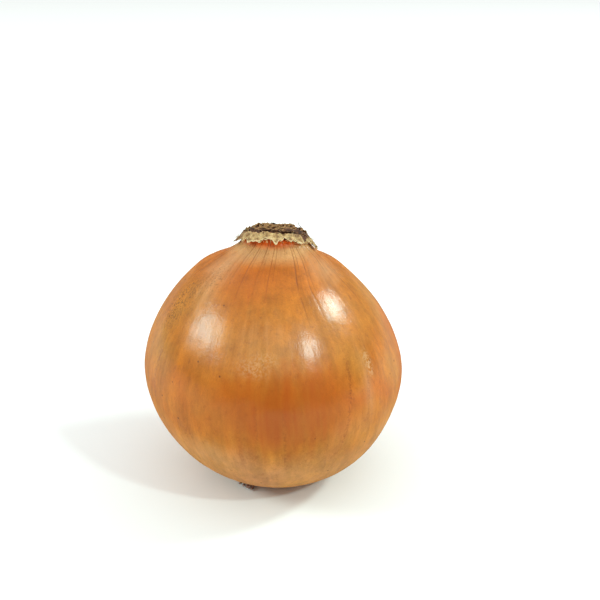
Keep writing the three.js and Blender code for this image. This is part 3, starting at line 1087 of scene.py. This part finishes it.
@dataclass
class LeafStub:
    """The withered leaf stubs: nested crumpled sheets with torn tops on a crumpled pad."""

    form: BulbForm
    half_width: float = 9.2
    half_depth: float = 6.1
    sheets: int = 7
    thickness: float = 0.16
    narrowing: float = 0.92
    unevenness: float = 0.25
    jag_height: float = 0.6
    columns: int = 420
    rows: int = 7
    foot: float = 0.9
    edge: float = 1.45
    height: float = 3.5
    hollow: float = 0.85
    pad_drop: float = 0.8
    pad_foot: float = 0.35
    pad_columns: int = 160
    pad_rings: int = 26

    def build(self, material: Material) -> Object:
        """Builds the nested sheets as closed thin rings in one object.

        Args:
            material: The sheets' finish.

        Returns:
            The sheets' object.
        """
        draw = np.random.default_rng(83)
        angle = around(self.columns)
        t = np.linspace(0, 1, self.rows)[:, None]
        rim = np.broadcast_to(t, (self.rows, self.columns))
        parts = []
        for i in range(self.sheets):
            scale = 1 - i / self.sheets * self.narrowing
            wide, deep = self.half_width * scale, self.half_depth * scale
            top = self._dome(wide * np.sin(angle), -deep * np.cos(angle)) + self.unevenness * draw.random()
            seed = 200 + 7 * i
            coarse, fine = ripple(seed, (3, 5, 9))(angle), ripple(seed + 1, (19, 29, 37))(angle)
            jag = 0.75 * coarse + 0.25 * fine + 0.5 * spikes(angle, 9, 0.16, seed + 2)
            above = self.foot + t * (top - self.foot + self.jag_height * jag)
            out = (0.8 * ripple(seed + 3, (2, 3, 5))(angle) - 0.2) * t
            turn = np.broadcast_to(angle, above.shape)
            plain = self.form.beside_neck(turn, out, above, (wide, deep))
            bent = 0.5 * swells(plain, 3.6, seed + 4) + 0.26 * swells(plain, 1.4, seed + 5)
            points = self.form.beside_neck(turn, out + bent, above, (wide, deep))
            parts.append((points, self.thickness, rim, np.zeros_like(rim)))
        return sheet_object("withered_leaf_sheets", parts, material)

    def _dome(self, x: Array, y: Array) -> Array:
        """Gives how high the torn tops stand above the neck's face: a low dome with two humps.

        Args:
            x: Distances sideways from the neck's middle.
            y: Distances backwards from the neck's middle.

        Returns:
            The height at each place.
        """
        inside = np.clip(1 - (x / self.half_width) ** 2 - (y / self.half_depth) ** 2, 0, 1)
        return self.edge + (self.height - self.edge) * inside**0.5 - self.hollow * hump(x, -0.6, 2.4)

    def build_pad(self, material: Material) -> Object:
        """Builds the crumpled pad between the sheets as a closed low dome.

        Args:
            material: The pad's finish.

        Returns:
            The pad's object.
        """
        angle = around(self.pad_columns)
        rows = [self._pad_ring(angle, 0.98, self.pad_foot)]
        for scale in np.linspace(1, 0.03, self.pad_rings):
            x, y = self.half_width * scale * np.sin(angle), self.half_depth * scale * np.cos(angle)
            rows.append(self._pad_ring(angle, scale, self._dome(x, y) - self.pad_drop))
        grid = np.array(rows)
        rough = 0.32 * swells(grid, 2.4, 41) + 0.2 * swells(grid, 1.0, 42)
        grid[1:, :, 2] += rough[1:]
        low = self.form.beside_neck(np.zeros(1), np.zeros(1), np.full(1, self.pad_foot), (0.01, 0.01))
        points, faces = fanned(grid, low, grid[-1].mean(0))
        return mesh_object("leaf_stub_pad", points, faces, material, marks={"rim": np.zeros(len(points))})

    def _pad_ring(self, angle: Array, scale: float, above: Array | float) -> Array:
        """Makes one oval ring of the pad."""
        flat, oval = np.zeros_like(angle), (self.half_width * scale, self.half_depth * scale)
        return self.form.beside_neck(angle, flat, flat + above, oval)


@dataclass(frozen=True)
class StrandTree:
    """A Geometry Nodes tree that grows curled, tapering strands from seed points."""

    name: str = "dry_strands"
    steps: int = 9
    sides: int = 5
    shortest: float = 0.45
    longest: float = 1.1
    tip: float = 0.45

    def build(self) -> NodeTree:
        """Builds the tree.

        Returns:
            The tree, with named inputs for the strands' sizes.
        """
        tree = bpy.data.node_groups.new(self.name, "GeometryNodeTree")
        sizes = ("Length", "Thickness", "Curl", "Curl Size", "Lowest", "Highest")
        sockets = (
            ("Geometry", "INPUT", "Geometry"), *((label, "INPUT", "Float") for label in sizes),
            ("Seed", "INPUT", "Int"), ("Finish", "INPUT", "Material"), ("Geometry", "OUTPUT", "Geometry"),
        )
        for label, way, kind in sockets:
            tree.interface.new_socket(label, in_out=way, socket_type="NodeSocket" + kind)
        add = partial(add_node, tree)
        given = add("NodeGroupInput").outputs
        line = {"Direction": (0, 0, 1), "Length": given["Length"]}
        straight = add("GeometryNodeCurvePrimitiveLine", line, mode="DIRECTION")
        fine = add("GeometryNodeResampleCurve", {"Curve": straight, "Count": self.steps})
        grow = add("GeometryNodeInputNamedAttribute", {"Name": "grow"}, data_type="FLOAT_VECTOR")
        turned = add("FunctionNodeAlignRotationToVector", {"Vector": grow}, axis="Z")
        span = {2: self.shortest, 3: self.longest, "Seed": given["Seed"]}
        size = add("FunctionNodeRandomValue", span, data_type="FLOAT")
        copies = {
            "Points": given["Geometry"], "Instance": fine, "Rotation": turned, "Scale": size.outputs[1],
        }
        loose = add("GeometryNodeRealizeInstances", {0: add("GeometryNodeInstanceOnPoints", copies)})
        along = add("GeometryNodeSplineParameter").outputs["Factor"]
        waves = {
            "Vector": add("GeometryNodeInputPosition"), "W": given["Seed"],
            "Scale": given["Curl Size"], "Detail": 1.0,
        }
        field = add(NOISE, waves, noise_dimensions="4D").outputs["Color"]
        centred = add(VECTOR_MATH, {0: field, 1: (0.5, 0.5, 0.5)}, operation="SUBTRACT")
        amount = add(MATH, {0: along, 1: given["Curl"]}, operation="MULTIPLY")
        push = add(VECTOR_MATH, {0: centred, "Scale": amount}, operation="SCALE")
        curled = add("GeometryNodeSetPosition", {"Geometry": loose, "Offset": push})
        bent = add(SEPARATE, {0: add("GeometryNodeInputPosition")}).outputs
        limits = {"Value": bent[2], "Min": given["Lowest"], "Max": given["Highest"]}
        level = add(COMBINE, {0: bent[0], 1: bent[1], 2: add("ShaderNodeClamp", limits)})
        laid = add("GeometryNodeSetPosition", {"Geometry": curled, "Position": level})
        taper = add(MAP_RANGE, {0: along, 3: 1.0, 4: self.tip})
        thin = add("GeometryNodeSetCurveRadius", {"Curve": laid, "Radius": taper})
        ring = {"Resolution": self.sides, "Radius": given["Thickness"]}
        circle = add("GeometryNodeCurvePrimitiveCircle", ring)
        tube = add("GeometryNodeCurveToMesh", {"Curve": thin, "Profile Curve": circle, "Fill Caps": True})
        smooth = add("GeometryNodeSetShadeSmooth", {"Geometry": tube})
        real = add("GeometryNodeRealizeInstances", {0: smooth})
        dressed = add("GeometryNodeSetMaterial", {"Geometry": real, "Material": given["Finish"]})
        add("NodeGroupOutput", {0: dressed})
        return tree


@dataclass(frozen=True)
class Strands:
    """A set of strands: where they grow, which way, and their sizes in millimetres."""

    name: str
    feet: Array
    ways: Array
    length: float
    thickness: float
    curl: float
    curl_size: float
    seed: int
    lowest: float = 0.0
    highest: float = 200.0

    def grow(self, tree: NodeTree, material: Material) -> Object:
        """Grows the strands and keeps them as a plain mesh.

        Args:
            tree: The tree that StrandTree builds.
            material: The strands' finish.

        Returns:
            The strands' object, with no modifier.
        """
        seeds = bpy.data.meshes.new(self.name + "_seeds")
        seeds.from_pydata((self.feet * MM).tolist(), [], [])
        grow = seeds.attributes.new("grow", "FLOAT_VECTOR", "POINT")
        grow.data.foreach_set("vector", self.ways.astype(np.float32).ravel())
        carrier = link(self.name + "_seeds", seeds)
        modifier = carrier.modifiers.new("strands", "NODES")
        modifier.node_group = tree
        sizes = {
            "Length": self.length * MM,
            "Thickness": self.thickness * MM,
            "Curl": self.curl * MM,
            "Curl Size": 1 / (self.curl_size * MM),
            "Lowest": self.lowest * MM,
            "Highest": self.highest * MM,
            "Seed": self.seed,
            "Finish": material,
        }
        for socket in tree.interface.items_tree:
            if socket.in_out == "INPUT" and socket.name in sizes:
                modifier[socket.identifier] = sizes[socket.name]
        evaluated = carrier.evaluated_get(bpy.context.evaluated_depsgraph_get())
        mesh = bpy.data.meshes.new_from_object(evaluated)
        mesh.name = self.name
        bpy.data.objects.remove(carrier)
        return link(self.name, mesh)


@dataclass
class RootMat:
    """The basal plate and its trimmed, dried roots."""

    form: BulbForm
    plate_radius: float = 7.6
    flat_radius: float = 6.4
    plate_z: float = 1.9
    columns: int = 120
    root_count: int = 150
    root_thickness: float = 0.42
    root_length: float = 8.2
    stray_count: int = 32
    stray_angle: float = -0.51
    stray_reach: float = 13.4

    def build_plate(self, material: Material) -> Object:
        """Builds the plate: a rough disc with a flat foot.

        Args:
            material: The plate's finish.

        Returns:
            The plate's object.
        """
        angle = around(self.columns)
        profile = (
            (2.0, 0.0), (self.flat_radius, 0.0), (7.1, 0.25), (self.plate_radius, 0.8), (7.4, 1.35),
            (6.3, self.plate_z), (3.0, self.plate_z),
        )
        flat, lumpy = np.zeros_like(angle), 1 + 0.05 * ripple(71, (5, 9, 14))(angle)
        grid = np.array([self._round(angle, radius * lumpy, flat + z) for radius, z in profile])
        grid[2:5] += (0.16 * swells(grid[2:5], 1.5, 17))[..., None] * np.array([1, 1, 0.4])
        low, high = (self._round(np.zeros(1), 0.0, np.full(1, z)) for z in (0.0, self.plate_z))
        points, faces = fanned(grid, low, high)
        return mesh_object("basal_plate", points, faces, material, marks={"rim": np.zeros(len(points))})

    def strands(self) -> tuple[Strands, Strands]:
        """Works out where the roots grow.

        Returns:
            The roots all round the plate, and the few strays at the front left.
        """
        draw, count, few = np.random.default_rng(101), self.root_count, self.stray_count
        angle = draw.uniform(0, TURN, count)
        feet = self._round(angle, draw.uniform(5.2, 7.4, count), draw.uniform(0.45, 1.2, count))
        ways = heading(angle + draw.normal(0, 0.35, count), draw.normal(-0.02, 0.1, count))
        near = self.stray_angle + draw.normal(0, 0.085, few)
        stray_feet = self._round(near, 7.0, draw.uniform(0.5, 0.9, few))
        stray_ways = heading(near + 0.55 * (self.stray_angle - near), draw.uniform(0.0, 0.05, few))
        shared = {"thickness": self.root_thickness, "curl_size": 4.0, "lowest": 0.36, "highest": 1.15}
        return (
            Strands("trimmed_roots", feet, ways, self.root_length, curl=3.2, seed=3, **shared),
            Strands("stray_roots", stray_feet, stray_ways, self.stray_reach, curl=1.2, seed=8, **shared),
        )

    def _round(self, angle: Array, radius: Array | float, z: Array) -> Array:
        """Puts points round the plate's middle."""
        x = self.form.axis_x(0.0) + radius * np.sin(angle)
        return np.stack([x, self.form.bulge_forward - radius * np.cos(angle), z], 1)


@dataclass
class NeckFray:
    """Loose fibres at the torn edges of the collar and between the leaf stubs."""

    form: BulbForm
    collar_count: int = 80
    stub_count: int = 60
    stub_oval: tuple[float, float] = (9.0, 5.9)
    stub_z: float = 2.3

    def strands(self) -> tuple[Strands, Strands]:
        """Works out where the fibres grow.

        Returns:
            The collar's fibres, and the leaf stubs' fibres.
        """
        form, draw, count = self.form, np.random.default_rng(57), self.collar_count
        angle = draw.uniform(0, TURN, count)
        feet = form.beside_neck(angle, draw.uniform(0.9, 1.5, count), draw.uniform(-0.3, 0.2, count))
        ways = heading(angle + draw.normal(0, 0.5, count), draw.normal(-0.55, 0.35, count))
        collar = Strands(
            "collar_fibres", feet, ways, length=1.2, thickness=0.06, curl=0.8, curl_size=1.2, seed=4
        )
        count = self.stub_count
        angle = draw.uniform(0, TURN, count)
        scale = np.sqrt(draw.uniform(0.05, 0.75, count))
        x = self.stub_oval[0] * scale * np.sin(angle) / form.neck_half_width
        y = self.stub_oval[1] * scale * np.cos(angle) / form.neck_half_depth
        feet = np.stack([
            form.beside_neck(a, 0.0, self.stub_z, (form.neck_half_width * r, form.neck_half_depth * r))
            for a, r in zip(np.arctan2(x, y), np.hypot(x, y))
        ])
        ways = heading(angle + math.pi / 2 + draw.normal(0, 0.4, count), draw.uniform(-0.15, 0.2, count))
        sizes = {"length": 2.6, "thickness": 0.17, "curl": 1.0, "curl_size": 2.2, "highest": 84.9}
        return collar, Strands("leaf_threads", feet, ways, seed=6, **sizes)


@dataclass
class Wisp:
    """The one thin thread of leaf that curls up from the back right of the stub."""

    form: BulbForm
    angle: float = 1.95
    inset: float = 1.6
    foot_z: float = 1.4
    length: float = 3.9
    thickness: float = 0.2
    steps: int = 18
    sides: int = 8

    def build(self, material: Material) -> Object:
        """Builds the thread as a closed tapering tube.

        Args:
            material: The thread's finish.

        Returns:
            The thread's object.
        """
        foot = self.form.beside_neck(np.array(self.angle), -self.inset, self.foot_z)
        t = np.linspace(0, 1, self.steps)
        curl = (0.25 * np.sin(7 * t) - 1.2 * t**2, 0.3 * np.sin(5 * t), self.length * (t - 0.12 * t**3))
        path = foot + np.stack(curl, 1)
        ring = heading(around(self.sides), np.zeros(self.sides))
        grid = path[:, None] + (self.thickness * (1 - 0.75 * t))[:, None, None] * ring
        return tube_object("curled_wisp", grid, material, np.repeat(t, self.sides))


@dataclass
class FoldedLeaf:
    """The dark leaf edge that folds out over the collar at the right of the neck."""

    form: BulbForm
    first_angle: float = 0.3
    last_angle: float = 1.5
    half_width: float = 0.75
    half_thickness: float = 0.16
    steps: int = 60
    sides: int = 14

    def build(self, material: Material) -> Object:
        """Builds the edge as a closed flat tube that tapers at both ends.

        Args:
            material: The leaf's finish.

        Returns:
            The edge's object.
        """
        t = np.linspace(0, 1, self.steps)[:, None]
        turn = around(self.sides)
        wide = self.half_width * np.sin(math.pi * (0.06 + 0.88 * t)) ** 0.6 * (1 + 0.3 * np.sin(17 * t))
        across, through = wide * np.cos(turn), self.half_thickness * np.sin(turn)
        plain = self.form.beside_neck(
            np.broadcast_to(self.first_angle + (self.last_angle - self.first_angle) * t, across.shape),
            -2.0 + 2.5 * t**1.4 + 0.8 * across + 0.6 * through,
            2.9 - 2.0 * t**2 - 0.6 * across + 0.8 * through,
        )
        grid = plain + (0.3 * swells(plain, 2.2, 61))[..., None] * np.array([0.3, -0.5, 0.8])
        rim = np.broadcast_to(np.abs(np.cos(turn)) ** 3, across.shape).ravel()
        return tube_object("folded_leaf_edge", grid, material, rim)


@dataclass(frozen=True)
class Softbox:
    """A studio softbox, placed by where its highlight falls on the onion.

    Its spin turns it about the way it faces, so that the sides of its highlight lie along and across
    the veins.
    """

    side: Side
    spot: tuple[float, float, float]
    towards: tuple[float, float, float]
    width: float
    height: float
    power: float
    spin: float
    distance: float = 2200.0
    tint: str = "#D8F4F2"

    def build(self) -> None:
        """Adds the softbox, facing the spot that it lights."""
        light = bpy.data.lights.new(f"softbox_{self.side.value}", "AREA")
        light.shape = "RECTANGLE"
        light.size = self.width * MM
        light.size_y = self.height * MM
        light.energy = self.power
        light.color = linear(self.tint)[:3]
        lamp = link(light.name, light)
        way = Vector(self.towards).normalized()
        lamp.location = (Vector(self.spot) + way * self.distance) * MM
        lamp.rotation_mode = "QUATERNION"
        spun = Quaternion((0, 0, 1), math.radians(self.spin))
        lamp.rotation_quaternion = (-way).to_track_quat("-Z", "Y") @ spun


@dataclass
class Studio:
    """The pale floor, the soft light and the camera.

    The floor is board with matt paint, so that it shows soft shadows and hardly a reflection.
    """

    floor_size: float = 9000.0
    floor_colour: str = "#F4F3F1"
    image: float = 600.0
    focal: float = 900.0
    distance: float = 297.7
    elevation: float = math.radians(26)
    target: tuple[float, float, float] = (0.0, 0.85, 41.0)
    target_pixel: tuple[float, float] = (274.2, 352.0)
    sensor: float = 36.0
    boxes: tuple[Softbox, ...] = (
        Softbox(Side.LEFT, (-20.4, -24.0, 60.8), (-0.86, -0.10, 0.51), 900, 520, 25.0, 23),
        Softbox(Side.RIGHT, (17.6, -18.8, 65.9), (0.78, 0.17, 0.60), 250, 700, 27.0, 48),
        Softbox(Side.FRONT_RIGHT, (9.8, -31.5, 57.8), (0.58, -0.50, 0.64), 170, 120, 15.0, -17),
    )

    def build(self) -> None:
        """Builds the floor, the world, the softboxes and the camera."""
        self._floor()
        self._world()
        for box in self.boxes:
            box.build()
        self._camera()
        view = bpy.context.scene.view_settings
        view.view_transform = "Standard"
        view.look = "None"

    def _floor(self) -> None:
        """Lays the floor, whose surface is where the onion stands."""
        material, add = new_material("matt_painted_board")
        place = add("ShaderNodeTexCoord").outputs["Object"]
        grain = add(NOISE, {"Vector": place, "Scale": 1 / (1.5 * MM), "Detail": 2.0})
        paint = {
            "Base Color": linear(self.floor_colour),
            "Roughness": 0.9,
            "Specular IOR Level": 0.1,
            "Normal": add(BUMP, {"Strength": 0.3, "Distance": 0.02 * MM, "Height": grain}),
        }
        add(OUTPUT, {"Surface": add(SHADER, paint)})
        half = self.floor_size / 2
        points = np.array([(-half, -half, 0), (half, -half, 0), (half, half, 0), (-half, half, 0)])
        mesh_object("floor", points, [(0, 1, 2, 3)], material)

    def _world(self) -> None:
        """Makes the pale surroundings: brighter overhead, dimmer at the front, and plain to look at."""
        world = bpy.data.worlds.new("pale_studio")
        world.use_nodes = True
        world.node_tree.nodes.clear()
        add = partial(add_node, world.node_tree)
        way = add(SEPARATE, {0: add("ShaderNodeTexCoord").outputs["Generated"]}).outputs
        bright = add(MAP_RANGE, {0: way[1], 1: -0.97, 2: -0.6, 3: 0.35, 4: 1.0})
        higher = add(MAP_RANGE, {0: way[2], 1: 0.0, 2: 0.6, 3: 0.22, 4: 1.0})
        both = add(MATH, {0: bright, 1: higher}, operation="MULTIPLY")
        sky = add("ShaderNodeBackground", {"Color": linear("#FFFFFF"), "Strength": both})
        backdrop = add("ShaderNodeBackground", {"Color": linear("#FDFCFA"), "Strength": 1.0})
        seen = add("ShaderNodeLightPath").outputs["Is Camera Ray"]
        shown = add("ShaderNodeMixShader", {0: seen, 1: sky, 2: backdrop})
        add("ShaderNodeOutputWorld", {"Surface": shown})
        bpy.context.scene.world = world

    def _camera(self) -> None:
        """Sets the camera so that the target point falls on its pixel of the square image."""
        lens = bpy.data.cameras.new("camera")
        lens.sensor_width = self.sensor
        lens.lens = self.focal / self.image * self.sensor
        lens.clip_end = 50.0
        camera = link("camera", lens)
        back = Vector((0, -math.cos(self.elevation), math.sin(self.elevation)))
        camera.location = (Vector(self.target) + back * self.distance) * MM
        tilt_up = math.atan((self.target_pixel[1] - self.image / 2) / self.focal)
        turn_right = math.atan((self.image / 2 - self.target_pixel[0]) / self.focal)
        aim = (-back).to_track_quat("-Z", "Y")
        camera.rotation_mode = "QUATERNION"
        camera.rotation_quaternion = (
            aim @ Quaternion((1, 0, 0), tilt_up) @ Quaternion((0, 1, 0), -turn_right)
        )
        bpy.context.scene.camera = camera


@dataclass
class Onion:
    """The whole onion: each piece is built, dressed, and tied to the solid that it stands for.

    Torn skin is pale and papery, withered leaf is dark with pale torn edges, and the dried roots
    are a greyed pink-brown.
    """

    form: BulbForm
    papery: DryTissue = DryTissue("torn_papery_skin", "#D3AE76", "#8A643A", "#E0C494", 1.5, 0.35)
    withered: DryTissue = DryTissue("withered_dry_leaf", "#6A4226", "#341A12", "#A67C4E", 1.1, 0.3, 0.82)
    corky: DryTissue = DryTissue("dried_root", "#B89888", "#8A6A5E", "#CDB4A6", 1.8, 0.4, 0.9)

    def build(self) -> None:
        """Builds every piece in order, and ties each to its node and its material slot."""
        form = self.form
        paper, leaf, root = self.papery.build(), self.withered.build(), self.corky.build()
        tree = StrandTree().build()
        self._settle(BulbSkin(form).build(CuredSkin().build()), "bulb")
        self._settle(NeckCollar(form).build(paper), "neck_collar")
        stub = LeafStub(form)
        for piece in (
            stub.build(leaf), stub.build_pad(leaf), Wisp(form).build(leaf), FoldedLeaf(form).build(leaf),
        ):
            self._settle(piece, "leaf_stub")
        collar_fray, stub_fray = NeckFray(form).strands()
        self._settle(collar_fray.grow(tree, paper), "neck_collar")
        self._settle(stub_fray.grow(tree, leaf), "leaf_stub")
        mat = RootMat(form)
        for piece in (mat.build_plate(root), *(strands.grow(tree, root) for strands in mat.strands())):
            self._settle(piece, "root_mat")

    def _settle(self, piece: Object, node: str) -> None:
        """Ties a finished piece to the body and its node, and reports it.

        Args:
            piece: The finished piece.
            node: The node that the piece stands for.
        """
        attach(piece, BODY)
        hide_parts(node)
        LOG.info("%s: %d faces, for %s", piece.name, len(piece.data.polygons), node)


def main() -> None:
    """Loads the frame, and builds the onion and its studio."""
    logging.basicConfig(level=logging.INFO, format="%(name)s: %(message)s")
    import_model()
    Onion(BulbForm()).build()
    Studio().build()


if __name__ == "__main__":
    main()
